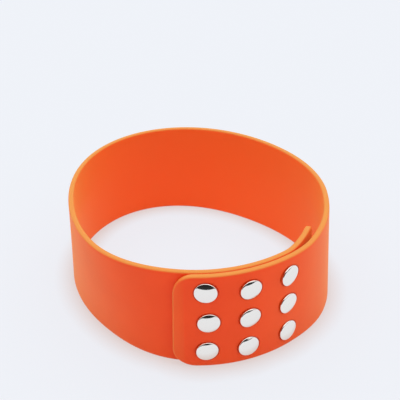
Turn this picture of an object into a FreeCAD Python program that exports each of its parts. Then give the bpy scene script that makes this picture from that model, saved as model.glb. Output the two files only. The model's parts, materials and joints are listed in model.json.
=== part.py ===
"""Wide elastomer collar band that closes with a grid of metal press studs.

Millimetres, +Z up. The band stands on its lower rim at z = 0, and Z is the axis of the neck it goes
round. Places along the strap are angles in degrees about Z: the strap starts at the flap's free end,
runs anticlockwise once round the ring, passes under the flap and ends at the tongue's free end.
"""
import FreeCAD
import Part
import math
import os

# Strap
strap_width = 50.0
strap_thickness = 2.7
corner_radius = 9.5            # at the four corners of the strap's two ends
end_slant = 1.7                # how much further the flap's lower corner reaches than its upper one

# Ring that the closed strap makes: a circle with an oval and a slight egg shape
ring_radius = 64.0             # of the middle of the strap's wall
oval_depth = 3.8
oval_angle = -57.0
egg_depth = 1.4
egg_angle = 2.0

# Overlap
layer_gap = 0.3                # between tongue and flap
flap_end_angle = -98.2         # at half height
ramp_inner_angle = -48.0       # here the outer layer has risen clear of the tongue
ramp_outer_angle = -5.0        # here it leaves the ring's own line
tongue_end_angle = 332.3
tail_lift = 5.75               # how far the tongue's free end stands in from the ring's line
tail_lift_start = 306.0        # here it begins to leave the ring's line
tail_lift_ease = 5.0           # stretch over which it turns off, before it runs on evenly

# Rows and columns of press studs
row_names = ["top", "middle", "bottom"]
edge_margin = 9.0              # from the strap's edge to the nearest row's middle
column_names = ["tip", "mid", "root"]
first_column_angle = -86.1
column_pitch_angle = 15.5
# The studs are set by hand, so each stands a little off the grid. Along the strap and upwards, by row
shifts_along = {"tip": [-0.2, 0.8, 0.0], "mid": [0.2, 0.1, -0.4], "root": [0.6, 0.4, 1.0]}
shifts_up = {"tip": [0.7, 0.2, 0.1], "mid": [-0.8, -0.2, -0.4], "root": [-0.7, 0.0, -0.1]}

# Sections of the one strap, which bend at the lines between them
section_gap = 0.3
root_bend_angle = -47.4
tongue_start_angle = 245.0
tail_bend_angle = 311.0

# Press stud
cap_diameter = 10.0
cap_height = 1.75
cap_rim = 0.8                  # thickness of the cap's rolled edge
shank_radius = 1.5
shank_bore = 1.1
shank_flare = 0.4              # the shank's end is rolled over by this much
flare_thickness = 0.2
stud_flange_radius = 4.0
stud_flange_thickness = 0.6
stud_neck_radius = 1.55
stud_head_radius = 2.0
stud_head_top_radius = 1.5
stud_head_slope = 0.15         # height over which the neck widens to the head
stud_crown = 0.2               # height over which the head closes in to its top
socket_radius = 4.2
socket_height = 1.75
socket_floor = 0.25
head_clearance = 0.4           # round the head in the socket, in radius
mouth_lip = 0.15
groove_height = 0.6
spring_wire = 0.5
spring_grip = 0.05             # the ring's hole is smaller than the head by this, in radius
spring_room = 0.3              # behind the spring in its groove, so that it can widen
spring_opening_angle = 50.0
eyelet_radius = 4.5
eyelet_thickness = 0.7
eyelet_bore = 0.8
eyelet_shank_radius = 1.1
eyelet_recess = 0.2            # from the head's top down to the eyelet's shank

# Seats cut into the strap for them
seat_clearance = 0.2           # round a flange or a socket, in radius
shank_clearance = 0.05         # round a shank, in radius
mouth_recess = 0.15            # from the flap's inner face to the socket's mouth
cap_seat_depth = 0.2
stud_seat_depth = 0.8
eyelet_seat_depth = 0.05

# Heights along a press stud's axis, outward from the tongue's outer face
tongue_face = 0.0
flap_face = layer_gap
cap_seat = layer_gap + strap_thickness - cap_seat_depth
socket_mouth = flap_face + mouth_recess
socket_seat = socket_mouth + socket_height
stud_seat = tongue_face - stud_seat_depth
stud_flange_top = stud_seat + stud_flange_thickness
eyelet_seat = tongue_face - strap_thickness + eyelet_seat_depth
groove_bottom = socket_mouth + mouth_lip
groove_top = groove_bottom + groove_height
stud_top = socket_seat - socket_floor - 2 * flare_thickness

# Radii that follow from the fits
socket_bore = stud_head_radius + head_clearance
spring_radius = stud_head_radius - spring_grip + spring_wire / 2
groove_radius = spring_radius + spring_wire / 2 + spring_room
stud_bore = eyelet_shank_radius + shank_clearance

up = FreeCAD.Vector(0, 0, 1)
layer_step = strap_thickness + layer_gap
row_pitch = strap_width / 2 - edge_margin
point_spacing = 3.0            # degrees between the points that a strap face is drawn through
small_angle = 0.01


def smooth(share):
    """Ease from 0 to 1 with level ends."""
    share = min(max(share, 0.0), 1.0)
    return share * share * (3 - 2 * share)


def ring_point(angle):
    """Middle of the wall of the plain ring."""
    oval = oval_depth * math.cos(2 * math.radians(angle - oval_angle))
    egg = egg_depth * math.cos(3 * math.radians(angle - egg_angle))
    radius = ring_radius + oval + egg
    return FreeCAD.Vector(radius * math.cos(math.radians(angle)), radius * math.sin(math.radians(angle)), 0)


def outward(line, angle):
    """Unit normal of a line in plan, pointing away from the ring's axis."""
    step = line(angle + small_angle) - line(angle - small_angle)
    return step.cross(up).normalize()


def eased_run(angle):
    """Angle past the start of the tail's lift, less what the ease holds back."""
    run = max(angle - tail_lift_start, 0.0)
    easing = min(run, tail_lift_ease)
    return run - easing + easing ** 2 / (2 * tail_lift_ease)


def rise(angle):
    """Height of the wall's middle off the plain ring: the outer layer steps out, the tail lifts in."""
    outer = 1 - smooth((angle - ramp_inner_angle) / (ramp_outer_angle - ramp_inner_angle))
    return layer_step * outer - tail_lift * eased_run(angle) / eased_run(tongue_end_angle)


def wall_point(angle):
    return ring_point(angle) + outward(ring_point, angle) * rise(angle)


def face_point(angle, height):
    """Point at a height outward from the middle of the wall."""
    return wall_point(angle) + outward(wall_point, angle) * height


def angle_of(length, angle):
    """Angle that a length along the wall takes up there."""
    speed = (wall_point(angle + small_angle) - wall_point(angle - small_angle)).Length / (2 * small_angle)
    return length / speed


def face_curve(start, end, height):
    """One face of a stretch of strap in plan, from the formula above."""
    count = max(int(math.ceil((end - start) / point_spacing)), 4)
    points = [face_point(start + (end - start) * i / count, height) for i in range(count + 1)]
    curve = Part.BSplineCurve()
    curve.interpolate(points)
    return curve.toShape()


def strap_stretch(start, end):
    """A stretch of the strap, as wide as the strap and with square ends."""
    half = strap_thickness / 2
    inner = face_curve(start, end, -half)
    outer = face_curve(start, end, half)
    first = Part.makeLine(face_point(start, half), face_point(start, -half))
    last = Part.makeLine(face_point(end, -half), face_point(end, half))
    outline = Part.Wire([first, inner, last, outer])
    return Part.Face(outline).extrude(up * strap_width)


def placed(shape, origin, x_axis, z_axis):
    """The shape moved from the world's axes to a place with its own axes."""
    y_axis = z_axis.cross(x_axis)
    matrix = FreeCAD.Matrix(x_axis.x, y_axis.x, z_axis.x, origin.x,
                            x_axis.y, y_axis.y, z_axis.y, origin.y,
                            x_axis.z, y_axis.z, z_axis.z, origin.z)
    result = shape.copy()
    result.Placement = FreeCAD.Placement(matrix)
    return result


def finish_end(shape, angle, into, slant):
    """Cut a strap end to its line and round its two corners. into is +1 where the strap runs on
    anticlockwise from it, and slant is how much further the lower corner reaches."""
    normal = outward(wall_point, angle)
    end = wall_point(angle)
    waste = Part.makeBox(strap_width, 2 * strap_width, 6 * strap_thickness,
                         FreeCAD.Vector(-strap_width, -strap_width, -3 * strap_thickness))
    waste.rotate(FreeCAD.Vector(), up, -math.degrees(math.asin(slant / strap_width)))
    waste = placed(waste, end + up * (strap_width / 2), up.cross(normal) * into, normal * into)
    cut = shape.cut(waste)
    corners = []
    for edge in cut.Edges:
        offset = edge.CenterOfMass - end
        in_plan = FreeCAD.Vector(offset.x, offset.y, 0).Length
        if in_plan < strap_thickness and edge.Length < 2 * strap_thickness:
            corners.append(edge)
    return cut.makeFillet(corner_radius, corners)


def column_angle(column):
    return first_column_angle + column * column_pitch_angle


def bend_angle(column):
    """Where the flap bends on the root side of a column."""
    if column == len(column_names) - 1:
        return root_bend_angle
    return column_angle(column) + column_pitch_angle / 2


def row_height(row):
    return strap_width / 2 + row_pitch * (1 - row)


def stud_place(shape, row, column):
    """Move a piece made about Z, with z = 0 on the tongue's outer face, to its place in the grid."""
    name = column_names[column]
    angle = column_angle(column) + 360
    angle += angle_of(shifts_along[name][row], angle)
    normal = outward(wall_point, angle)
    origin = face_point(angle, strap_thickness / 2) + up * (row_height(row) + shifts_up[name][row])
    return placed(shape, origin, up.cross(normal), normal)


def disc(radius, bottom, top):
    return Part.makeCylinder(radius, top - bottom, FreeCAD.Vector(0, 0, bottom))


def revolved(outline):
    """Solid of revolution about Z from (radius, height) points."""
    points = [FreeCAD.Vector(radius, 0, height) for radius, height in outline]
    face = Part.Face(Part.makePolygon(points + points[:1]))
    return face.revolve(FreeCAD.Vector(), up, 360)


def profile_arc(middle, radius, start, end):
    """Arc in the XZ plane about a (radius, height) point, between two turns from straight up."""
    turns = [start, (start + end) / 2, end]
    points = [FreeCAD.Vector(middle[0] + radius * math.sin(turn), 0, middle[1] + radius * math.cos(turn))
              for turn in turns]
    return Part.Arc(*points).toShape()


def make_cap():
    """Dome that runs smoothly into a rolled edge, and the tubular shank that passes through the flap
    and is rolled over inside the socket."""
    roll = cap_rim / 2
    reach = cap_diameter / 2 - roll
    rest = cap_height - roll
    dome = (reach ** 2 + rest ** 2 - roll ** 2) / (2 * (rest - roll))
    slope = math.asin(reach / (dome - roll))
    top = FreeCAD.Vector(0, 0, cap_seat + cap_height)
    foot = FreeCAD.Vector(0, 0, cap_seat)
    outline = Part.Wire([
        profile_arc((0, cap_seat + cap_height - dome), dome, 0, slope),
        profile_arc((reach, cap_seat + roll), roll, slope, math.pi),
        Part.makeLine(foot + FreeCAD.Vector(reach, 0, 0), foot), Part.makeLine(foot, top)])
    body = Part.Face(outline).revolve(FreeCAD.Vector(), up, 360)
    shank_end = socket_seat - socket_floor - flare_thickness
    shank = disc(shank_radius, shank_end, cap_seat + roll)
    flare = disc(shank_radius + shank_flare, shank_end, shank_end + flare_thickness)
    hollow = disc(shank_bore, shank_end, cap_seat)
    return body.fuse([shank, flare]).cut(hollow).removeSplitter()


def make_socket():
    """Cup in the flap's pocket, with the spring's groove inside its mouth."""
    floor_underside = socket_seat - socket_floor
    hole = shank_radius + shank_clearance
    return revolved([
        (socket_bore, socket_mouth), (socket_radius, socket_mouth), (socket_radius, socket_seat),
        (hole, socket_seat), (hole, floor_underside), (socket_bore, floor_underside),
        (socket_bore, groove_top), (groove_radius, groove_top), (groove_radius, groove_bottom),
        (socket_bore, groove_bottom)])


def make_spring():
    """Open ring of round wire that grips the stud's neck."""
    middle = (groove_bottom + groove_top) / 2
    wire = Part.Wire(Part.makeCircle(spring_wire / 2, FreeCAD.Vector(spring_radius, 0, middle),
                                     FreeCAD.Vector(0, 1, 0)))
    return Part.Face(wire).revolve(FreeCAD.Vector(), up, 360 - spring_opening_angle)


def make_stud():
    """Flange in the tongue's outer face, with the head that enters the socket."""
    return revolved([
        (stud_bore, stud_seat), (stud_flange_radius, stud_seat), (stud_flange_radius, stud_flange_top),
        (stud_neck_radius, stud_flange_top), (stud_neck_radius, groove_top),
        (stud_head_radius, groove_top + stud_head_slope), (stud_head_radius, stud_top - stud_crown),
        (stud_head_top_radius, stud_top), (stud_bore, stud_top)])


def make_eyelet():
    """Ring on the tongue's inner face, whose shank passes through the strap into the stud."""
    outer_face = eyelet_seat - eyelet_thickness
    shank_end = stud_top - eyelet_recess
    edge = eyelet_thickness / 2
    ring = disc(eyelet_radius - edge, outer_face, eyelet_seat)
    roll = Part.makeTorus(eyelet_radius - edge, edge, FreeCAD.Vector(0, 0, outer_face + edge))
    shank = disc(eyelet_shank_radius, outer_face, shank_end)
    bore = disc(eyelet_bore, outer_face, shank_end)
    dish = Part.makeCone(eyelet_bore + edge, eyelet_bore, edge, FreeCAD.Vector(0, 0, outer_face))
    return ring.fuse([roll, shank]).cut(bore).cut(dish).removeSplitter()


def flap_seats():
    """Cap seat, shank hole and socket pocket, as one cutter."""
    beyond = layer_gap + strap_thickness + 1
    cap = disc(cap_diameter / 2 + seat_clearance, cap_seat, beyond)
    hole = disc(shank_radius + shank_clearance, flap_face, beyond)
    pocket = disc(socket_radius + seat_clearance, tongue_face - 0.2, socket_seat)
    return cap.fuse([hole, pocket])


def tongue_seats():
    """Stud seat, shank hole and eyelet seat, as one cutter."""
    beyond = tongue_face - strap_thickness - 1
    stud = disc(stud_flange_radius + seat_clearance, stud_seat, tongue_face + 0.2)
    hole = disc(eyelet_shank_radius + shank_clearance, beyond, tongue_face)
    eyelet = disc(eyelet_radius + seat_clearance, beyond, eyelet_seat)
    return stud.fuse([hole, eyelet])


def flap_section(column):
    """The stretch of flap that carries one column of caps."""
    end = bend_angle(column)
    end -= angle_of(section_gap / 2, end)
    if column == 0:
        start = flap_end_angle - angle_of(end_slant, flap_end_angle)
        section = finish_end(strap_stretch(start, end), flap_end_angle, 1, end_slant)
    else:
        start = bend_angle(column - 1)
        section = strap_stretch(start + angle_of(section_gap / 2, start), end)
    cutters = [stud_place(flap_seats(), row, column) for row in range(len(row_names))]
    return section.cut(cutters)


def band_section():
    """The plain stretch of strap, from the flap's bend round the neck to the tongue."""
    return strap_stretch(root_bend_angle + angle_of(section_gap / 2, root_bend_angle), tongue_start_angle)


def tongue_section():
    """The stretch of tongue that carries the studs."""
    end = tail_bend_angle - angle_of(section_gap / 2, tail_bend_angle)
    cutters = []
    for column in range(len(column_names)):
        cutters += [stud_place(tongue_seats(), row, column) for row in range(len(row_names))]
    return strap_stretch(tongue_start_angle, end).cut(cutters)


def tail_section():
    """The tongue's free end."""
    start = tail_bend_angle + angle_of(section_gap / 2, tail_bend_angle)
    end = tongue_end_angle + angle_of(end_slant, tongue_end_angle)
    return finish_end(strap_stretch(start, end), tongue_end_angle, -1, 0)


def build():
    pieces = {"strap_band": band_section(), "strap_tongue": tongue_section(), "strap_tail": tail_section()}
    makers = {"cap": make_cap, "socket": make_socket, "ring_spring": make_spring,
              "stud": make_stud, "eyelet": make_eyelet}
    for column, column_name in enumerate(column_names):
        pieces["strap_flap_" + column_name] = flap_section(column)
        for row, row_name in enumerate(row_names):
            for kind, make in makers.items():
                pieces["_".join([kind, row_name, column_name])] = stud_place(make(), row, column)
    return pieces


os.makedirs("parts", exist_ok=True)
for name, shape in build().items():
    shape.exportStep("parts/" + name + ".step")
    print(name, len(shape.Solids), shape.isValid(), round(shape.Volume, 1))
for name, angle, height in [("root", root_bend_angle, 0.5), ("mid", bend_angle(1), 0.5),
                            ("tip", bend_angle(0), 0.5), ("tail", tail_bend_angle, -0.5)]:
    axis_point = face_point(angle, height * strap_thickness)
    print("bend", name, round(axis_point.x, 3), round(axis_point.y, 3))
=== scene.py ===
"""Looks of a wide silicone collar band that closes with a grid of nickel press studs.

Metres, +Z up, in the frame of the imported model. Places along the strap are angles about Z, called a in
the code: the strap starts at the flap's free end, runs anticlockwise once round the ring, passes under
the flap and ends at the tongue's free end.
"""
import bisect
import bmesh
import bpy
import json
import math
from bpy.props import FloatProperty, FloatVectorProperty, PointerProperty
from bpy.types import Operator, Panel, PropertyGroup
from mathutils import Matrix, Vector
from types import SimpleNamespace


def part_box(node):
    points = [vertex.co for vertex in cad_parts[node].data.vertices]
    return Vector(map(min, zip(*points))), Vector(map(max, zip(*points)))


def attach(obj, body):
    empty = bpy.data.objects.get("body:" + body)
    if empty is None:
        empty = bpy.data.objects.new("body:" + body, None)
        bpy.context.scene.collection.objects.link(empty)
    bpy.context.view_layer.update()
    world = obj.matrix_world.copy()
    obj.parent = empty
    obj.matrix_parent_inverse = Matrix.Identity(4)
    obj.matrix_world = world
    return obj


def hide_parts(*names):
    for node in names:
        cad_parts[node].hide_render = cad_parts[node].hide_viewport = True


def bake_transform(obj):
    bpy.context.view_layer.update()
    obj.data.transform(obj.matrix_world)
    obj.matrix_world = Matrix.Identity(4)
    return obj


bl_info = {
    "name": "Press-stud collar band",
    "version": (1, 0, 0),
    "blender": (4, 5, 0),
    "location": "View3D > Sidebar > Collar",
    "description": "Builds the strap, its press studs and a studio round the packed collar band",
    "category": "Object",
}

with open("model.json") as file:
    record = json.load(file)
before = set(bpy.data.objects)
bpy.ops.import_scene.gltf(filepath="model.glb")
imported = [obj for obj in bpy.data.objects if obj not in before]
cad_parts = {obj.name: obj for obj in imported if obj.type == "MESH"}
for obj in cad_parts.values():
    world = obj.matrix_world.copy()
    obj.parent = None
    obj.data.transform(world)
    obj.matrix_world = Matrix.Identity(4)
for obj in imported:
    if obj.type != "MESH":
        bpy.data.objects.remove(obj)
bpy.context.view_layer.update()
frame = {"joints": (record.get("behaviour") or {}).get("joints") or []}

MM = 0.001
FULL_TURN = 2 * math.pi
UP = Vector((0, 0, 1))
ROWS = ["top", "middle", "bottom"]
COLUMNS = ["tip", "mid", "root"]

# Fineness of the meshes
STRIP = 1.4 * MM                # length of strap between two cross cuts
CORNER_STEPS = 14               # facets of a corner of the strap
RIM_STEPS = 4                   # facets across a rim's rounding
CAP_STEPS = 96                  # facets round a cap
FITTING_STEPS = 72              # facets round the other metal pieces
ROUND_STEPS = 3                 # facets across a rounded corner of a metal piece
SHARP_ANGLE = math.radians(38)  # edges that bend more than this stay crisp
SAME_POINT = 1e-6               # points nearer than this are one
SAME_PLANE = 1e-7               # points this near to a cut or a level lie on it

# Radii of a press stud of the common type with a 10 mm cap
SHANK = 1.5 * MM                # the cap's tube, through the flap
SHANK_BORE = 1.1 * MM
SHANK_LIP = 1.9 * MM            # the tube's end, rolled over inside the socket
SOCKET = 4.2 * MM
SOCKET_BORE = 2.4 * MM
SPRING_GROOVE = 2.75 * MM       # in the socket's wall
SPRING = 2.2 * MM               # middle of the ring spring's wire
SPRING_WIRE = 0.25 * MM
STUD_FLANGE = 4 * MM
STUD_NECK = 1.55 * MM
STUD_HEAD = 2 * MM
STUD_TIP = 1.5 * MM
EYELET = 4.5 * MM
EYELET_HOLE = 1.25 * MM         # where the crowned ring turns down into the tube
EYELET_TUBE = 1.1 * MM
EYELET_BORE = 0.8 * MM
SEAT_ROOM = 0.2 * MM            # round a socket, a stud's flange or an eyelet in its seat
TUBE_ROOM = 0.05 * MM           # round a tube in its hole

# How far the pieces of a press stud are let into the strap's faces
CAP_SINK = 0.2 * MM
SOCKET_SINK = 0.15 * MM
STUD_SINK = 0.8 * MM
EYELET_SINK = 0.05 * MM

# Heights of a press stud, and how its pieces are rounded
SOCKET_DEPTH = 1.75 * MM
SOCKET_SHEET = 0.25 * MM        # thickness of the socket's back
STUD_SHEET = 0.6 * MM           # thickness of the stud's flange
GROOVE_LIP = 0.15 * MM          # from the socket's mouth to the spring's groove
GROOVE_HEIGHT = 0.6 * MM
SHANK_LIP_HEIGHT = 0.2 * MM
HEAD_ROOM = 0.4 * MM            # from the stud's top to the socket's back
TUBE_SHORT = 0.2 * MM           # how far the eyelet's tube ends below the stud's top
NECK_SLOPE = 0.15 * MM          # from the stud's neck to its full head
TIP_SLOPE = 0.2 * MM            # from the stud's full head to its top
SOCKET_ROUND = 0.06 * MM
STUD_ROUND = 0.09 * MM
SPRING_SWEEP = math.radians(310)    # the ring spring is open

# The flap's face is pressed down round each cap, in a ring just wider than the cap
PRESS_ROOM = 0.35 * MM          # from the cap's edge to the ring's
PRESS_WIDTH = 0.5 * MM
PRESS_SLOPE = 0.1 * MM
PRESS_DEPTH = 0.5 * MM

# Real sizes in the finishes
MOTTLE = 22.2 * MM              # patches of deeper colour in the silicone
BLAST_GRAIN = 0.385 * MM        # coarser than the real grain of about 0.05 mm, which wouldn't show
BLAST_DEPTH = 0.03 * MM
SCATTER = 1.2 * MM              # how far light spreads in the silicone
ORANGE_PEEL = 2.63 * MM         # waves in the polished plate
PEEL_DEPTH = 0.02 * MM
BARREL_WEAR = 2 * MM            # patches that the barrel has left duller
WIRE_WEAR = 0.667 * MM          # patches on the drawn wire

# The studs are set by hand, so each stands a little off the grid. Along the strap and upwards, in
# millimetres, and how far each cap is turned about the upright and tipped back, in degrees, by row
SHIFTS_ALONG = {"tip": [-0.2, 0.8, 0.0], "mid": [0.2, 0.1, -0.4], "root": [0.6, 0.4, 1.0]}
SHIFTS_UP = {"tip": [0.7, 0.2, 0.1], "mid": [-0.8, -0.2, -0.4], "root": [-0.7, 0.0, -0.1]}
CAP_TURNS = {"tip": [-4, 3, 6], "mid": [4, 5, 5], "root": [7, 4, 4]}
CAP_TIPS = {"tip": [1, -0.5, 0], "mid": [-2.5, -1.5, 3], "root": [0.5, 0.5, 3]}


def node_size(name):
    low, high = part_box(name)
    return high - low


def linear(code):
    """An sRGB hex colour as linear red, green and blue."""
    shares = [int(code[i:i + 2], 16) / 255 for i in (0, 2, 4)]
    return tuple(c / 12.92 if c <= 0.04045 else ((c + 0.055) / 1.055) ** 2.4 for c in shares)


def smooth(share):
    """Ease from 0 to 1 with level ends."""
    share = min(max(share, 0.0), 1.0)
    return share * share * (3 - 2 * share)


def length(name, description, default):
    return FloatProperty(name=name, description=description, default=default, unit="LENGTH", precision=5)


def angle(name, description, degrees):
    return FloatProperty(name=name, description=description, default=math.radians(degrees),
                         unit="ROTATION")


def number(name, description, default):
    return FloatProperty(name=name, description=description, default=default)


def colour(name, description, code):
    return FloatVectorProperty(name=name, description=description, default=linear(code), subtype="COLOR",
                               size=3, min=0, max=1)


class CollarStrapSettings(PropertyGroup):
    width: length("Width", "Height of the band as it stands", node_size("strap_band").z)
    thickness: length("Thickness", "Of the strap's wall", 2.7 * MM)
    corner_radius: length("Corner radius", "At the strap's two ends", 9.5 * MM)
    edge_radius: length("Edge radius", "Rounding of the strap's rims", 0.8 * MM)
    ring_radius: length("Ring radius", "Of the middle of the wall", 64 * MM)
    oval_depth: length("Oval depth", "How far the ring is pulled into an oval", 3.8 * MM)
    oval_angle: angle("Oval angle", "Direction of the oval's long axis", -57)
    egg_depth: length("Egg depth", "How far the ring is pulled into an egg shape", 1.4 * MM)
    egg_angle: angle("Egg angle", "Direction of the egg's blunt end", 2)
    end_slant: length("End slant", "How much further the flap's lower corner reaches", 1.7 * MM)
    layer_gap: length("Layer gap", "Between the tongue and the flap", 0.3 * MM)
    flap_end: angle("Flap end", "Where the flap's free end is", -98.2)
    ramp_inner: angle("Ramp foot", "Where the outer layer has risen clear of the tongue", -48)
    ramp_outer: angle("Ramp head", "Where the outer layer leaves the ring's own line", -5)
    tongue_end: angle("Tongue end", "Where the tongue's free end is", 332.3)
    tail_lift: length("Tail lift", "How far the tongue's free end stands in", 5.75 * MM)
    tail_start: angle("Tail start", "Where the tongue's end begins to leave the ring's line", 306)
    tail_ease: angle("Tail ease", "Stretch over which it turns off, before it runs on evenly", 5)
    lean_mean: length("Mean lean", "How much further out the lower rim is, on average", -1.3 * MM)
    lean_swing: length("Lean swing", "How the lean changes twice round the ring", 3.6 * MM)
    lean_angle: angle("Lean angle", "Where the swing stands the lower rim out the most", -22)
    tilt: length("Tilt", "How far the whole ring leans to one side", 0.6 * MM)
    tilt_angle: angle("Tilt angle", "Side on which the tilt stands the lower rim out", 210)
    lean_start: angle("Lean start", "Where the strap begins to lean, past the overlap", -52)
    lean_start_ease: angle("Lean start ease", "Stretch over which it begins to lean", 20)
    lean_end: angle("Lean end", "Where the strap begins to straighten again", 220)
    lean_end_ease: angle("Lean end ease", "Stretch over which it straightens", 46)
    flare_left: length("Left flare", "How much further out the lower rim is on the left", 1.1 * MM)
    left_side: angle("Left side", "Middle of the left flare", 185)
    left_spread: angle("Left spread", "From the middle of the left flare to its ends", 50)
    flare_right: length("Right flare", "How much further out the lower rim is on the right", 0.9 * MM)
    right_side: angle("Right side", "Middle of the right flare", -14)
    right_spread: angle("Right spread", "From the middle of the right flare to its ends", 40)
    back_start: angle("Back start", "Where the plain piece at the back starts", 110)
    back_end: angle("Back end", "Where the plain piece at the back ends", 150)
    bend_reach: length("Bend reach", "How far each side of a joint's line the strap bends", 3.8 * MM)
    face: colour("Face", "Moulded face of the silicone", "F64111")
    shade: colour("Mottle", "Slightly deeper tone of the face", "F13C0F")
    # Painted light: the inner face's paler colour makes up for the shade inside the ring; it is the same
    # silicone as the outer face
    inner: colour("Inner face", "Inner face, which the mould leaves more matt and paler", "FC6426")
    # Painted highlight: the upper rim's lighter colour stands in for the stronger light from above, and a
    # weaker share of it is painted on the rounded ends
    rim: colour("Rim", "Upper rim of the silicone, which scatters more light", "E28D40")
    bloom: colour("Bloom", "Tone that the face takes at a glancing angle", "E6C864")


class CollarStudSettings(PropertyGroup):
    first_column: angle("First column", "Middle of the column at the flap's tip", -86.1)
    column_pitch: angle("Column pitch", "From one column to the next", 15.5)
    edge_margin: length("Edge margin", "From the strap's edge to the nearest row", 9 * MM)
    cap_diameter: length("Cap diameter", "Of the domed caps", node_size("cap_top_tip").z)
    cap_height: length("Cap height", "From the cap's seat to the top of its dome", 1.75 * MM)
    cap_roll: length("Cap roll", "Radius of the cap's rolled edge", 0.4 * MM)
    nickel: colour("Nickel", "Polished nickel plate", "F5F2EC")
    fitting: colour("Fittings", "Barrel-plated nickel of the hidden pieces", "C9C5BC")
    wire: colour("Spring wire", "Drawn steel wire", "9D9C98")


class CollarStageSettings(PropertyGroup):
    focal_length: number("Focal length", "Of the camera, in millimetres", 65.54)
    distance: length("Distance", "From the camera to the point it looks at", 361 * MM)
    elevation: angle("Elevation", "Of the camera above the floor", 32)
    roll: angle("Roll", "Of the camera about its line of sight", -1.32)
    aim_x: length("Aim to the right", "Point that the camera looks at", 2.95 * MM)
    aim_z: length("Aim height", "Point that the camera looks at", 43.6 * MM)
    floor: colour("Floor", "Pale floor and backdrop", "EDF0F6")
    # Painted shadow: within the contact reach of the strap's foot, the floor is mixed towards this tint
    painted_contact_shadow: colour("Contact tint", "Floor right beside the strap's foot", "E0D2CF")
    contact: length("Contact", "How far the strap's foot darkens the floor", 11 * MM)
    paper_front: length("Paper front", "From the ring's middle to the paper's front edge", 280 * MM)
    backlight: number("Backlight", "Share of the floor's light from below", 0.88)
    room_light: number("Room light", "Strength near the horizon", 0.78)
    softbox_light: number("Softbox light", "Strength overhead", 1.46)
    dark_side: angle("Dark side", "Direction in plan of the dark side of the room", -106)
    dark_width: number("Dark width", "Half width, as a share of the sky", 0.9)
    dark_height: number("Dark height", "Height, as a share of the sky", 0.75)
    dark_depth: number("Dark depth", "Light left there in reflections", 0.03)
    dark_fill: number("Dark fill", "Light that the dark side still sheds", 0.5)


# Geometry shared by the pieces


class StrapPath:
    """Middle of the strap's wall in plan, as angles and as lengths from the flap's free end."""

    def __init__(self, strap):
        self.strap = strap
        self.layer_step = strap.thickness + strap.layer_gap
        finest = math.radians(0.5)
        whole = strap.tongue_end - strap.flap_end
        count = int(math.ceil(whole / finest))
        self.angles = [strap.flap_end + whole * i / count for i in range(count + 1)]
        self.lengths = [0.0]
        for before, after in zip(self.angles, self.angles[1:]):
            self.lengths.append(self.lengths[-1] + (self.wall(after) - self.wall(before)).length)

    def ring(self, a):
        """The plain ring, as if the strap never overlapped."""
        strap = self.strap
        oval = strap.oval_depth * math.cos(2 * (a - strap.oval_angle))
        egg = strap.egg_depth * math.cos(3 * (a - strap.egg_angle))
        radius = strap.ring_radius + oval + egg
        return Vector((radius * math.cos(a), radius * math.sin(a), 0))

    def outward(self, line, a):
        """Level direction square to a line that is given by angle."""
        small = 1e-4
        return (line(a + small) - line(a - small)).cross(UP).normalized()

    def eased_run(self, a):
        """Angle past the start of the tail's lift, less what the ease holds back."""
        run = max(a - self.strap.tail_start, 0)
        easing = min(run, self.strap.tail_ease)
        return run - easing + easing ** 2 / (2 * self.strap.tail_ease)

    def rise(self, a):
        """Height off the plain ring: the outer layer steps out, the tongue's tail lifts in."""
        strap = self.strap
        outer = 1 - smooth((a - strap.ramp_inner) / (strap.ramp_outer - strap.ramp_inner))
        tail = self.eased_run(a) / self.eased_run(strap.tongue_end)
        return self.layer_step * outer - strap.tail_lift * tail

    def wall(self, a):
        return self.ring(a) + self.outward(self.ring, a) * self.rise(a)

    def face(self, a, height):
        return self.wall(a) + self.outward(self.wall, a) * height

    def lean(self, a):
        """How far the lower rim stands out from the upper one. The overlap stands straight."""
        strap = self.strap
        begun = smooth((a - strap.lean_start) / strap.lean_start_ease)
        ended = smooth((a - strap.lean_end) / strap.lean_end_ease)
        swing = strap.lean_swing * math.cos(2 * (a - strap.lean_angle))
        tilt = strap.tilt * math.cos(a - strap.tilt_angle)
        return begun * (1 - ended) * (strap.lean_mean + swing + tilt)

    def flare(self, a):
        """How much further the lower rim stands out on the ring's left and right."""
        strap = self.strap
        left = 1 - smooth(abs(a - strap.left_side) / strap.left_spread)
        right = 1 - smooth(abs(a - strap.right_side) / strap.right_spread)
        return strap.flare_left * left + strap.flare_right * right

    def length_at(self, a):
        return self.between(self.angles, self.lengths, a)

    def angle_at(self, distance):
        return self.between(self.lengths, self.angles, distance)

    @staticmethod
    def between(known, wanted, value):
        """Reads one list where the other, which rises, passes a value."""
        i = min(max(bisect.bisect_right(known, value) - 1, 0), len(known) - 2)
        share = (value - known[i]) / (known[i + 1] - known[i])
        return wanted[i] + (wanted[i + 1] - wanted[i]) * share


def strap_path():
    return StrapPath(bpy.context.scene.collar_strap)


def column_angle(column):
    studs = bpy.context.scene.collar_studs
    return studs.first_column + column * studs.column_pitch


def stud_spot(path, row, column, turns):
    """Length along the strap and height of a press stud, on a turn of the strap."""
    pitch = path.strap.width / 2 - bpy.context.scene.collar_studs.edge_margin
    name = COLUMNS[column]
    along = path.length_at(column_angle(column) + turns * FULL_TURN) + SHIFTS_ALONG[name][row] * MM
    return along, path.strap.width / 2 + pitch * (1 - row) + SHIFTS_UP[name][row] * MM


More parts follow.
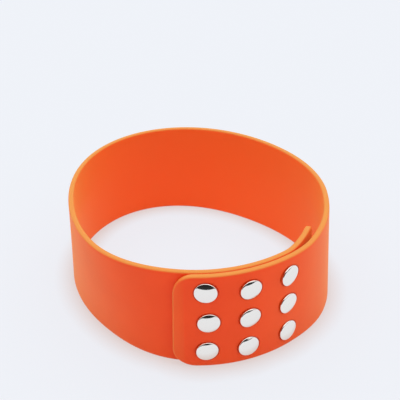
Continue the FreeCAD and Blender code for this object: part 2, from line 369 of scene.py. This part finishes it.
def press_stud_heights():
    """Heights along a press stud's axis, outward from the tongue's outer face."""
    strap = bpy.context.scene.collar_strap
    at = SimpleNamespace()
    at.tongue_inner = -strap.thickness
    at.flap_inner = strap.layer_gap
    at.flap_outer = strap.layer_gap + strap.thickness
    at.cap_seat = at.flap_outer - CAP_SINK
    at.socket_mouth = at.flap_inner + SOCKET_SINK
    at.socket_seat = at.socket_mouth + SOCKET_DEPTH
    at.socket_floor = at.socket_seat - SOCKET_SHEET
    at.shank_end = at.socket_floor - SHANK_LIP_HEIGHT
    at.groove_low = at.socket_mouth + GROOVE_LIP
    at.groove_high = at.groove_low + GROOVE_HEIGHT
    at.stud_seat = -STUD_SINK
    at.stud_flange = at.stud_seat + STUD_SHEET
    at.stud_top = at.socket_floor - HEAD_ROOM
    at.eyelet_seat = at.tongue_inner + EYELET_SINK
    at.tube_end = at.stud_top - TUBE_SHORT
    return at


def new_object(name, bm):
    mesh = bpy.data.meshes.new(name)
    bm.to_mesh(mesh)
    bm.free()
    piece = bpy.data.objects.new(name, mesh)
    bpy.context.scene.collection.objects.link(piece)
    return piece


def crisp(bm):
    """Smooth faces, with the sharp edges kept."""
    for face in bm.faces:
        face.smooth = True
    for edge in bm.edges:
        edge.smooth = len(edge.link_faces) == 2 and edge.calc_face_angle(0) < SHARP_ANGLE


def lathe(outline, steps, rounding=0.0, closed=True, sweep=FULL_TURN):
    """Solid of revolution about Z from (radius, height) points, with its corners rounded."""
    bm = bmesh.new()
    verts = [bm.verts.new((radius, 0, height)) for radius, height in outline]
    pairs = list(zip(verts, verts[1:] + verts[:1])) if closed else list(zip(verts, verts[1:]))
    for pair in pairs:
        bm.edges.new(pair)
    if rounding:
        corners = [v for v in verts if v.co.x > 0 and len(v.link_edges) == 2]
        bmesh.ops.bevel(bm, geom=corners, offset=rounding, offset_type="OFFSET",
                        segments=ROUND_STEPS, profile=0.5, affect="VERTICES", material=-1)
    full = sweep == FULL_TURN
    bmesh.ops.spin(bm, geom=bm.verts[:] + bm.edges[:], cent=(0, 0, 0), axis=UP, angle=sweep, steps=steps,
                   use_merge=full)
    bmesh.ops.remove_doubles(bm, verts=bm.verts, dist=SAME_POINT)
    if not full:
        bmesh.ops.holes_fill(bm, edges=[e for e in bm.edges if e.is_boundary])
    bmesh.ops.recalc_face_normals(bm, faces=bm.faces)
    crisp(bm)
    return bm


def stud_matrix(path, row, column):
    """From a press stud's own axes, with z = 0 on the tongue's outer face, to its place in the grid."""
    along, height = stud_spot(path, row, column, 1)
    a = path.angle_at(along)
    normal = path.outward(path.wall, a)
    ahead = UP.cross(normal)
    turn = Matrix((ahead, normal.cross(ahead), normal)).transposed().to_4x4()
    origin = path.face(a, path.strap.thickness / 2) + UP * height
    return Matrix.Translation(origin) @ turn


# Materials


def add_node(material, kind, inputs=None, **settings):
    """Adds a node, sets it, gives inputs a value or another node's output, and returns its outputs."""
    tree = material.node_tree
    node = tree.nodes.new(kind)
    for name, value in settings.items():
        setattr(node, name, value)
    sockets = {socket.identifier: socket for socket in node.inputs}
    for name, value in (inputs or {}).items():
        if isinstance(value, bpy.types.NodeSocket):
            tree.links.new(value, sockets[name])
        else:
            sockets[name].default_value = value
    return {socket.identifier: socket for socket in node.outputs}


def new_material(name):
    material = bpy.data.materials.new(name)
    material.use_nodes = True
    material.node_tree.nodes.clear()
    return material


def finish_material(material, shader):
    add_node(material, "ShaderNodeOutputMaterial", {"Surface": shader})
    return material


def moulded_silicone(strap):
    """Silicone rubber from a fine-blasted mould: a satin face that pales at a glancing angle, a painted
    highlight on the upper rim and the ends, and an inner face painted paler to make up for the shade inside
    the ring."""
    material = new_material("moulded_silicone")
    place = add_node(material, "ShaderNodeTexCoord")["Object"]
    mottle = add_node(material, "ShaderNodeTexNoise",
                      {"Vector": place, "Scale": 1 / MOTTLE, "Detail": 3.0})["Fac"]
    grain = add_node(material, "ShaderNodeTexNoise",
                     {"Vector": place, "Scale": 1 / BLAST_GRAIN, "Detail": 2.0})["Fac"]
    tone = add_node(material, "ShaderNodeMapRange",
                    {"Value": mottle, "From Min": 0.35, "From Max": 0.65})
    face = add_node(material, "ShaderNodeMix", {"Factor_Float": tone["Result"], "A_Color": (*strap.face, 1),
                                                "B_Color": (*strap.shade, 1)}, data_type="RGBA")
    # Inner face painted paler, to make up for the shade inside the ring
    painted_paler_inside = add_node(material, "ShaderNodeAttribute", attribute_name="painted_paler_inside")["Fac"]
    wall = add_node(material, "ShaderNodeMix", {"Factor_Float": painted_paler_inside, "A_Color": face["Result_Color"],
                                                "B_Color": (*strap.inner, 1)}, data_type="RGBA")
    # Painted highlight on the upper rim and, weaker, on the ends
    rim = add_node(material, "ShaderNodeAttribute", attribute_name="rim")["Fac"]
    body = add_node(material, "ShaderNodeMix", {"Factor_Float": rim, "A_Color": wall["Result_Color"],
                                                "B_Color": (*strap.rim, 1)}, data_type="RGBA")
    bump = add_node(material, "ShaderNodeBump",
                    {"Height": grain, "Strength": 0.25, "Distance": BLAST_DEPTH})
    shader = add_node(material, "ShaderNodeBsdfPrincipled",
                      {"Base Color": body["Result_Color"], "Roughness": 0.5, "IOR": 1.41,
                       "Specular IOR Level": 0.25, "Normal": bump["Normal"], "Sheen Weight": 0.5,
                       "Sheen Roughness": 0.55, "Sheen Tint": (*strap.bloom, 1),
                       "Subsurface Weight": 0.12, "Subsurface Scale": SCATTER,
                       "Subsurface Radius": (1.0, 0.35, 0.12)})
    return finish_material(material, shader["BSDF"])


def polished_nickel(studs):
    """Nickel plate over brass, polished on a wheel: a mirror with the faintest orange peel."""
    material = new_material("polished_nickel")
    place = add_node(material, "ShaderNodeTexCoord")["Object"]
    peel = add_node(material, "ShaderNodeTexNoise",
                    {"Vector": place, "Scale": 1 / ORANGE_PEEL, "Detail": 1.0})["Fac"]
    bump = add_node(material, "ShaderNodeBump",
                    {"Height": peel, "Strength": 0.12, "Distance": PEEL_DEPTH})
    shader = add_node(material, "ShaderNodeBsdfPrincipled",
                      {"Base Color": (*studs.nickel, 1), "Metallic": 1.0, "Roughness": 0.07,
                       "Normal": bump["Normal"]})
    return finish_material(material, shader["BSDF"])


def plated_fitting(studs):
    """Barrel-plated nickel: bright, with the soft blur of unpolished stamped metal."""
    material = new_material("barrel_plated_nickel")
    place = add_node(material, "ShaderNodeTexCoord")["Object"]
    wear = add_node(material, "ShaderNodeTexNoise",
                    {"Vector": place, "Scale": 1 / BARREL_WEAR, "Detail": 2.0})["Fac"]
    gloss = add_node(material, "ShaderNodeMapRange", {"Value": wear, "To Min": 0.16, "To Max": 0.28})
    shader = add_node(material, "ShaderNodeBsdfPrincipled",
                      {"Base Color": (*studs.fitting, 1), "Metallic": 1.0, "Roughness": gloss["Result"]})
    return finish_material(material, shader["BSDF"])


def drawn_wire(studs):
    """Drawn spring steel: grey, with patches a little duller than the rest."""
    material = new_material("drawn_spring_steel")
    place = add_node(material, "ShaderNodeTexCoord")["Object"]
    wear = add_node(material, "ShaderNodeTexNoise",
                    {"Vector": place, "Scale": 1 / WIRE_WEAR, "Detail": 2.0})["Fac"]
    gloss = add_node(material, "ShaderNodeMapRange", {"Value": wear, "To Min": 0.25, "To Max": 0.45})
    shader = add_node(material, "ShaderNodeBsdfPrincipled",
                      {"Base Color": (*studs.wire, 1), "Metallic": 1.0, "Roughness": gloss["Result"]})
    return finish_material(material, shader["BSDF"])


# Strap


def slab(path, start, end, round_start, round_end):
    """A flat, straight stretch of strap: x along it, y across it and z outward."""
    strap = path.strap
    low, high = path.length_at(start), path.length_at(end)
    bm = bmesh.new()
    middle = (low + high) / 2
    place = Matrix.Translation((middle, strap.width / 2, -strap.thickness / 2))
    size = Matrix.Diagonal((high - low, strap.width, 1, 1))
    bmesh.ops.create_grid(bm, x_segments=1, y_segments=1, size=0.5, matrix=place @ size)
    rounded = [v for v in bm.verts if (round_start if v.co.x < middle else round_end)]
    if rounded:
        bmesh.ops.bevel(bm, geom=rounded, offset=strap.corner_radius, offset_type="OFFSET",
                        segments=CORNER_STEPS, profile=0.5, affect="VERTICES", material=-1)
    grown = bmesh.ops.extrude_face_region(bm, geom=bm.faces[:])
    lifted = [v for v in grown["geom"] if isinstance(v, bmesh.types.BMVert)]
    bmesh.ops.translate(bm, verts=lifted, vec=(0, 0, strap.thickness))
    bmesh.ops.recalc_face_normals(bm, faces=bm.faces)

    def on_cut(edge):
        """True where the stretch is cut off square and runs on in the next piece."""
        at_low = all(v.co.x < low + SAME_POINT for v in edge.verts) and not round_start
        at_high = all(v.co.x > high - SAME_POINT for v in edge.verts) and not round_end
        return at_low or at_high

    level = [e for e in bm.edges if abs(e.verts[0].co.z - e.verts[1].co.z) < SAME_PLANE]
    rims = [e for e in level if not on_cut(e)]
    bmesh.ops.bevel(bm, geom=rims, offset=strap.edge_radius, offset_type="OFFSET", segments=RIM_STEPS,
                    profile=0.5, affect="EDGES", material=-1)
    return bm


def cut_seats(piece, path, outline, columns, turns):
    """Cuts one turned seat for each press stud of these columns out of a flat stretch."""
    cutter = bmesh.new()
    for column in columns:
        for row in range(len(ROWS)):
            one = lathe(outline, FITTING_STEPS)
            bmesh.ops.translate(one, verts=one.verts, vec=(*stud_spot(path, row, column, turns), 0))
            part = bpy.data.meshes.new("seat")
            one.to_mesh(part)
            one.free()
            cutter.from_mesh(part)
            bpy.data.meshes.remove(part)
    tool = new_object("seat_cutter", cutter)
    cut = piece.modifiers.new("seats", "BOOLEAN")
    cut.operation = "DIFFERENCE"
    cut.solver = "EXACT"
    cut.object = tool
    bpy.context.view_layer.update()
    graph = bpy.context.evaluated_depsgraph_get()
    result = bpy.data.meshes.new_from_object(piece.evaluated_get(graph))
    piece.modifiers.clear()
    piece.data = result
    bpy.data.objects.remove(tool)


def flap_seat_outline():
    """Cap seat with the ring pressed down round it, shank hole and socket pocket, in height from the
    middle of the flap's wall."""
    strap = bpy.context.scene.collar_strap
    at = press_stud_heights()
    pocket, hole = SOCKET + SEAT_ROOM, SHANK + TUBE_ROOM
    ring = bpy.context.scene.collar_studs.cap_diameter / 2 + PRESS_ROOM
    pressed = at.cap_seat - PRESS_DEPTH
    below, above = at.flap_inner - strap.thickness, at.flap_outer + strap.thickness
    points = [(0, below), (pocket, below), (pocket, at.socket_seat), (hole, at.socket_seat),
              (hole, at.cap_seat), (ring - PRESS_WIDTH - PRESS_SLOPE, at.cap_seat),
              (ring - PRESS_WIDTH, pressed), (ring, pressed), (ring, above), (0, above)]
    middle = (at.flap_inner + at.flap_outer) / 2
    return [(radius, height - middle) for radius, height in points]


def tongue_seat_outline():
    """Stud seat, shank hole and eyelet seat, in height from the middle of the tongue's wall."""
    strap = bpy.context.scene.collar_strap
    at = press_stud_heights()
    eyelet, hole, stud = EYELET + SEAT_ROOM, EYELET_TUBE + TUBE_ROOM, STUD_FLANGE + SEAT_ROOM
    below, above = at.tongue_inner - strap.thickness, strap.thickness
    points = [(0, below), (eyelet, below), (eyelet, at.eyelet_seat), (hole, at.eyelet_seat),
              (hole, at.stud_seat), (stud, at.stud_seat), (stud, above), (0, above)]
    middle = at.tongue_inner / 2
    return [(radius, height - middle) for radius, height in points]


def painted_rim_highlight(path, point):
    """Share of the painted highlight on the rims: all of it on the upper rim, some on the ends and none
    below.
    """
    strap = path.strap
    start, end = path.lengths[0] + strap.corner_radius, path.lengths[-1] - strap.corner_radius
    across = max(start - point.x, point.x - end, 0)
    above = point.y - min(max(point.y, strap.corner_radius), strap.width - strap.corner_radius)
    reach = math.hypot(across, above)
    if reach < SAME_PLANE:
        return 0
    depth = strap.corner_radius - reach
    end_share, end_width = 0.5, 1.6 * strap.edge_radius
    on_top = max(above / reach, 0) ** 2 * (1 - smooth(depth / strap.edge_radius))
    on_end = end_share * (across / reach) ** 2 * (1 - smooth(depth / end_width))
    return max(on_top, on_end)


def bend_round(piece, path):
    """Cuts a flat stretch into strips, marks the painted highlight on its rims and the painted paler inner
    face, and wraps it round the ring.
    """
    strap = path.strap
    bm = bmesh.new()
    bm.from_mesh(piece.data)
    xs = [v.co.x for v in bm.verts]
    low, high = min(xs), max(xs)
    count = int(math.ceil((high - low) / STRIP))
    cuts = [((low + (high - low) * i / count, 0, 0), (1, 0, 0)) for i in range(1, count)]
    # Cuts along the rims, which keep their painted highlight from running into the face
    for inset in (strap.edge_radius, 3 * strap.edge_radius):
        cuts += [((0, inset, 0), (0, 1, 0)), ((0, strap.width - inset, 0), (0, 1, 0))]
    for point, normal in cuts:
        bmesh.ops.bisect_plane(bm, geom=bm.verts[:] + bm.edges[:] + bm.faces[:], dist=SAME_PLANE,
                               plane_co=point, plane_no=normal)
    # Share of the painted highlight at each point of the rims and ends
    rim = bm.verts.layers.float.new("rim")
    # Mask of the inner face, which is painted paler to make up for its shade
    painted_paler_inside = bm.verts.layers.float.new("painted_paler_inside")
    for v in bm.verts:
        v[rim] = painted_rim_highlight(path, v.co)
        v[painted_paler_inside] = smooth(-2 * v.co.z / strap.thickness)
    crisp(bm)
    for v in bm.verts:
        height = v.co.y
        down = 1 - height / strap.width
        near_end = 1 - smooth((v.co.x - path.lengths[0]) / strap.corner_radius)
        a = path.angle_at(v.co.x - near_end * strap.end_slant * (down - 0.5))
        lean = path.lean(a) * (down - 0.5) + path.flare(a) * down
        v.co = path.face(a, v.co.z + lean)
        v.co.z = height
    bm.to_mesh(piece.data)
    bm.free()


class COLLAR_OT_strap(Operator):
    """Builds the silicone strap, in stretches that meet at the middles of two stud columns and at the ends
    of the plain back stretch; only the back stretch is attached to a body
    """
    bl_idname = "collar.strap"
    bl_label = "Silicone strap"

    def execute(self, context):
        path = strap_path()
        strap = path.strap
        silicone = moulded_silicone(strap)
        joints = {j["name"]: Vector(j["pos_m"]) for j in frame["joints"]}
        mid, root = [column_angle(COLUMNS.index(name)) for name in ("mid", "root")]
        back_start, back_end = strap.back_start, strap.back_end
        stretches = {
            "strap_flap_end": (strap.flap_end, mid, [0, 1], 0, ("flap_mid", "flap_tip", "flap_tip_peel")),
            "strap_flap_middle": (mid, root, [1, 2], 0, ("flap_root", "flap_mid", "flap_mid_peel")),
            "strap_right_side": (root, back_start, [2], 0, ("band", "flap_root", "flap_root_peel")),
            "strap_back": (back_start, back_end, [], 0, None),
            "strap_left_side": (back_end, strap.tongue_end, [0, 1, 2], 1,
                                ("band", "tongue_tail", "tongue_tail_flex")),
        }
        stands_for = {
            "strap_flap_end": ["strap_flap_tip", "strap_flap_mid"],
            "strap_flap_middle": ["strap_flap_mid", "strap_flap_root"],
            "strap_right_side": ["strap_flap_root", "strap_band"],
            "strap_back": ["strap_band"],
            "strap_left_side": ["strap_band", "strap_tongue", "strap_tail"],
        }
        for name, (start, end, columns, turns, bend) in stretches.items():
            flat = slab(path, start, end, start == strap.flap_end, end == strap.tongue_end)
            piece = new_object(name, flat)
            if columns:
                outline = tongue_seat_outline() if turns else flap_seat_outline()
                cut_seats(piece, path, outline, columns, turns)
            bend_round(piece, path)
            piece.data.materials.clear()
            piece.data.materials.append(silicone)
            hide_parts(*stands_for[name])
            if bend is None:
                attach(piece, "band")
                continue
            fixed, moving, joint = bend
            centre = Vector((joints[joint].x, joints[joint].y, strap.width / 2))
            ahead = UP.cross(path.outward(path.wall, math.atan2(centre.y, centre.x)))
            ahead *= 1 if turns else -1
            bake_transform(piece)
        return {"FINISHED"}


# Press studs


def cap_outline():
    """Half section of a cap: a low dome that runs into a rolled edge, and a rolled-over tube below."""
    studs = bpy.context.scene.collar_studs
    at = press_stud_heights()
    radius, roll = studs.cap_diameter / 2, studs.cap_roll
    reach = radius - roll
    rest = studs.cap_height - roll
    # Radius of the dome that runs into the roll without a kink, and the slope where they meet
    dome = (reach ** 2 + rest ** 2 - roll ** 2) / (2 * (rest - roll))
    slope = math.asin(reach / (dome - roll))
    centre = at.cap_seat + studs.cap_height - dome
    dome_steps, roll_steps = 22, 10
    points = []
    for i in range(dome_steps + 1):
        a = slope * i / dome_steps
        points.append((dome * math.sin(a), centre + dome * math.cos(a)))
    for i in range(1, roll_steps + 1):
        a = slope + (math.pi - slope) * i / roll_steps
        points.append((reach + roll * math.sin(a), at.cap_seat + roll + roll * math.cos(a)))
    points += [(SHANK, at.cap_seat), (SHANK, at.socket_floor), (SHANK_LIP, at.socket_floor),
               (SHANK_LIP, at.shank_end), (SHANK_BORE, at.shank_end), (SHANK_BORE, at.cap_seat),
               (0, at.cap_seat)]
    return points


def socket_outline():
    """Half section of a socket: a cup, with a groove for the ring spring in its wall."""
    at = press_stud_heights()
    hole = SHANK + TUBE_ROOM
    return [(SOCKET_BORE, at.socket_mouth), (SOCKET, at.socket_mouth), (SOCKET, at.socket_seat),
            (hole, at.socket_seat), (hole, at.socket_floor), (SOCKET_BORE, at.socket_floor),
            (SOCKET_BORE, at.groove_high), (SPRING_GROOVE, at.groove_high),
            (SPRING_GROOVE, at.groove_low), (SOCKET_BORE, at.groove_low)]


def stud_outline():
    """Half section of a stud: a flange, a neck and the head that the ring spring grips."""
    at = press_stud_heights()
    bore = EYELET_TUBE + TUBE_ROOM
    return [(bore, at.stud_seat), (STUD_FLANGE, at.stud_seat), (STUD_FLANGE, at.stud_flange),
            (STUD_NECK, at.stud_flange), (STUD_NECK, at.groove_high),
            (STUD_HEAD, at.groove_high + NECK_SLOPE), (STUD_HEAD, at.stud_top - TIP_SLOPE),
            (STUD_TIP, at.stud_top), (bore, at.stud_top)]


def eyelet_outline():
    """Half section of an eyelet: a crowned ring, pressed down at its hole and its edge, and its tube."""
    at = press_stud_heights()
    middle, half = (EYELET + EYELET_HOLE) / 2, (EYELET - EYELET_HOLE) / 2
    crown, lip, dip = 0.5 * MM, 0.2 * MM, 0.1 * MM
    crown_steps = 16
    points = [(EYELET_BORE, at.eyelet_seat + dip)]
    for i in range(crown_steps + 1):
        a = math.pi * (1 - i / crown_steps)
        points.append((middle + half * math.cos(a), at.eyelet_seat - lip - crown * math.sin(a)))
    points += [(EYELET, at.eyelet_seat), (EYELET_TUBE, at.eyelet_seat), (EYELET_TUBE, at.tube_end),
               (EYELET_BORE, at.tube_end)]
    return points


def make_cap():
    return lathe(cap_outline(), CAP_STEPS, closed=False)


def tip_cap(bm, row, column_name):
    """Leans a cap's dome on its seat, as the tool left it. The tube below stays true."""
    seat = press_stud_heights().cap_seat
    dome = [v for v in bm.verts if v.co.z > seat - SAME_POINT]
    turn = Matrix.Rotation(math.radians(CAP_TURNS[column_name][row]), 3, "Y")
    tip = Matrix.Rotation(math.radians(-CAP_TIPS[column_name][row]), 3, "X")
    bmesh.ops.rotate(bm, verts=dome, cent=(0, 0, seat), matrix=turn @ tip)


def make_socket():
    return lathe(socket_outline(), FITTING_STEPS, rounding=SOCKET_ROUND)


def make_stud():
    return lathe(stud_outline(), FITTING_STEPS, rounding=STUD_ROUND)


def make_eyelet():
    return lathe(eyelet_outline(), FITTING_STEPS)


def make_spring():
    """Open ring of round wire in the socket's groove."""
    at = press_stud_heights()
    middle = (at.groove_low + at.groove_high) / 2
    wire_steps = 16
    outline = []
    for i in range(wire_steps):
        a = FULL_TURN * i / wire_steps
        outline.append((SPRING + SPRING_WIRE * math.cos(a), middle + SPRING_WIRE * math.sin(a)))
    return lathe(outline, FITTING_STEPS, sweep=SPRING_SWEEP)


class COLLAR_OT_press_studs(Operator):
    """Builds every cap, socket, ring spring, stud and eyelet in its place in the grid"""
    bl_idname = "collar.press_studs"
    bl_label = "Press studs"

    def execute(self, context):
        studs = context.scene.collar_studs
        path = strap_path()
        nickel, plated, wire = polished_nickel(studs), plated_fitting(studs), drawn_wire(studs)
        kinds = {
            "cap": (make_cap, "domed_cap", nickel, "cap_nickel"),
            "socket": (make_socket, "socket_cup", plated, "socket_steel"),
            "ring_spring": (make_spring, "spring_ring", wire, "spring_steel"),
            "stud": (make_stud, "stud_head", plated, "socket_steel"),
            "eyelet": (make_eyelet, "eyelet_ring", plated, "socket_steel"),
        }
        for column, column_name in enumerate(COLUMNS):
            for row, row_name in enumerate(ROWS):
                for kind, (make, label, material, slot) in kinds.items():
                    bm = make()
                    if kind == "cap":
                        tip_cap(bm, row, column_name)
                    bm.transform(stud_matrix(path, row, column))
                    place = "_" + row_name + "_" + column_name
                    piece = new_object(label + place, bm)
                    piece.data.materials.append(material)
                    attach(piece, "band" if kind in ("stud", "eyelet") else "flap_" + column_name)
                    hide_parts(kind + place)
        return {"FINISHED"}


# Stage


FLOOR_RADIUS = 8.0              # metres
CLOSE_IN = 0.5                  # share of open air at which the floor is as dark as it gets
PAPER_EDGE = 10 * MM            # half the width over which the paper ends
SOFTBOX_EDGE = (0.4, 0.7)       # heights on a unit sky between which the softbox begins
DARK_EDGE = (0.92, 1.08)        # shares of the dark side's size between which it ends
SENSOR_WIDTH = 36.0             # millimetres
CLIP_FAR = 20.0                 # metres


def pale_floor(stage):
    """Matt white paper, lit from behind, with a painted contact shadow where the strap touches it over the
    faint real shadow that its matt share keeps. It ends a little way in front, and what mirrors it shows
    the dark room past that edge."""
    material = new_material("backlit_paper")
    path = add_node(material, "ShaderNodeLightPath")
    mirrored = path["Is Glossy Ray"]
    seen = add_node(material, "ShaderNodeMath",
                    {"Value": path["Is Camera Ray"], "Value_001": mirrored}, operation="MAXIMUM")["Value"]
    seen = add_node(material, "ShaderNodeMath",
                    {"Value": seen, "Value_001": path["Is Transmission Ray"]}, operation="MAXIMUM")["Value"]
    # Painted contact shadow: where the floor is closed in near the strap, its glow for the camera and
    # reflections is mixed towards the contact tint
    air = add_node(material, "ShaderNodeAmbientOcclusion", {"Distance": stage.contact}, samples=16)["AO"]
    air = add_node(material, "ShaderNodeMapRange",
                   {"Value": air, "From Min": CLOSE_IN, "From Max": 1.0})["Result"]
    glow_with_painted_shadow = add_node(material, "ShaderNodeMix", {"Factor_Float": air, "A_Color": (*stage.painted_contact_shadow, 1),
                                                "B_Color": (*stage.floor, 1)}, data_type="RGBA")
    share = add_node(material, "ShaderNodeMath", {"Value": seen, "Value_001": stage.backlight},
                     operation="MULTIPLY")["Value"]
    paper = add_node(material, "ShaderNodeBsdfDiffuse", {"Color": (*stage.floor, 1)})["BSDF"]
    light = add_node(material, "ShaderNodeEmission", {"Color": glow_with_painted_shadow["Result_Color"]})["Emission"]
    lit = add_node(material, "ShaderNodeMixShader", {"Fac": share, "Shader": paper, "Shader_001": light})
    place = add_node(material, "ShaderNodeTexCoord")["Object"]
    ahead = add_node(material, "ShaderNodeSeparateXYZ", {"Vector": place})["Y"]
    past = add_node(material, "ShaderNodeMapRange",
                    {"Value": ahead, "From Min": PAPER_EDGE - stage.paper_front,
                     "From Max": -PAPER_EDGE - stage.paper_front})
    dark = add_node(material, "ShaderNodeMath", {"Value": past["Result"], "Value_001": mirrored},
                    operation="MULTIPLY")["Value"]
    room = add_node(material, "ShaderNodeEmission", {"Color": (1, 1, 1, 1), "Strength": stage.dark_depth})
    both = add_node(material, "ShaderNodeMixShader",
                    {"Fac": dark, "Shader": lit["Shader"], "Shader_001": room["Emission"]})
    return finish_material(material, both["Shader"])


def studio_world(stage):
    """White room under a wide softbox, with one dark side. The camera itself sees only paper."""
    world = bpy.data.worlds.new("studio")
    world.use_nodes = True
    world.node_tree.nodes.clear()
    path = add_node(world, "ShaderNodeLightPath")
    toward = add_node(world, "ShaderNodeTexCoord")["Generated"]
    height = add_node(world, "ShaderNodeSeparateXYZ", {"Vector": toward})["Z"]
    above = add_node(world, "ShaderNodeMapRange",
                     {"Value": height, "From Min": SOFTBOX_EDGE[0], "From Max": SOFTBOX_EDGE[1],
                      "To Min": stage.room_light, "To Max": stage.softbox_light})["Result"]
    middle = Vector((math.cos(stage.dark_side), math.sin(stage.dark_side), 0))
    facing = add_node(world, "ShaderNodeMapping",
                      {"Vector": toward, "Location": middle, "Rotation": (0, 0, stage.dark_side),
                       "Scale": (1, stage.dark_width, stage.dark_height)}, vector_type="TEXTURE")["Vector"]
    away = add_node(world, "ShaderNodeVectorMath", {"Vector": facing}, operation="LENGTH")["Value"]
    darkest = add_node(world, "ShaderNodeMapRange",
                       {"Value": path["Is Glossy Ray"], "To Min": stage.dark_fill,
                        "To Max": stage.dark_depth})["Result"]
    shade = add_node(world, "ShaderNodeMapRange",
                     {"Value": away, "From Min": DARK_EDGE[0], "From Max": DARK_EDGE[1],
                      "To Min": darkest})["Result"]
    level = add_node(world, "ShaderNodeMath", {"Value": above, "Value_001": shade},
                     operation="MULTIPLY")["Value"]
    light = add_node(world, "ShaderNodeBackground",
                     {"Color": (1, 1, 1, 1), "Strength": level})["Background"]
    paper = add_node(world, "ShaderNodeBackground",
                     {"Color": (*stage.floor, 1), "Strength": 1.0})["Background"]
    both = add_node(world, "ShaderNodeMixShader", {"Fac": path["Is Camera Ray"], "Shader": light,
                                                   "Shader_001": paper})["Shader"]
    add_node(world, "ShaderNodeOutputWorld", {"Surface": both})
    return world


class COLLAR_OT_stage(Operator):
    """Builds the floor, the soft light and the camera"""
    bl_idname = "collar.stage"
    bl_label = "Stage"

    def execute(self, context):
        stage = context.scene.collar_stage
        bm = bmesh.new()
        bmesh.ops.create_circle(bm, cap_ends=True, radius=FLOOR_RADIUS, segments=64)
        floor = new_object("floor", bm)
        floor.data.materials.append(pale_floor(stage))
        context.scene.world = studio_world(stage)
        camera = bpy.data.objects.new("camera", bpy.data.cameras.new("camera"))
        camera.data.sensor_width = SENSOR_WIDTH
        camera.data.lens = stage.focal_length
        camera.data.clip_start = 10 * MM
        camera.data.clip_end = CLIP_FAR
        back = Vector((0, -math.cos(stage.elevation), math.sin(stage.elevation)))
        turn = (-back).to_track_quat("-Z", "Y").to_matrix() @ Matrix.Rotation(stage.roll, 3, "Z")
        place = Vector((stage.aim_x, 0, stage.aim_z)) + back * stage.distance
        camera.matrix_world = Matrix.Translation(place) @ turn.to_4x4()
        context.scene.collection.objects.link(camera)
        context.scene.camera = camera
        context.scene.view_settings.view_transform = "Standard"
        return {"FINISHED"}


class COLLAR_PT_panel(Panel):
    """Sizes, colours and pieces of the collar band"""
    bl_idname = "COLLAR_PT_panel"
    bl_label = "Collar band"
    bl_space_type = "VIEW_3D"
    bl_region_type = "UI"
    bl_category = "Collar"

    def draw(self, context):
        for name in ("collar_strap", "collar_studs", "collar_stage"):
            box = self.layout.box()
            settings = getattr(context.scene, name)
            for key in settings.bl_rna.properties.keys():
                if key not in ("rna_type", "name"):
                    box.prop(settings, key)
        for operator in (COLLAR_OT_strap, COLLAR_OT_press_studs, COLLAR_OT_stage):
            self.layout.operator(operator.bl_idname)


CLASSES = (CollarStrapSettings, CollarStudSettings, CollarStageSettings, COLLAR_OT_strap,
           COLLAR_OT_press_studs, COLLAR_OT_stage, COLLAR_PT_panel)


def register():
    for cls in CLASSES:
        bpy.utils.register_class(cls)
    bpy.types.Scene.collar_strap = PointerProperty(type=CollarStrapSettings)
    bpy.types.Scene.collar_studs = PointerProperty(type=CollarStudSettings)
    bpy.types.Scene.collar_stage = PointerProperty(type=CollarStageSettings)


def unregister():
    del bpy.types.Scene.collar_stage
    del bpy.types.Scene.collar_studs
    del bpy.types.Scene.collar_strap
    for cls in reversed(CLASSES):
        bpy.utils.unregister_class(cls)


def main():
    register()
    bpy.ops.collar.strap()
    bpy.ops.collar.press_studs()
    bpy.ops.collar.stage()


if __name__ == "__main__":
    main()
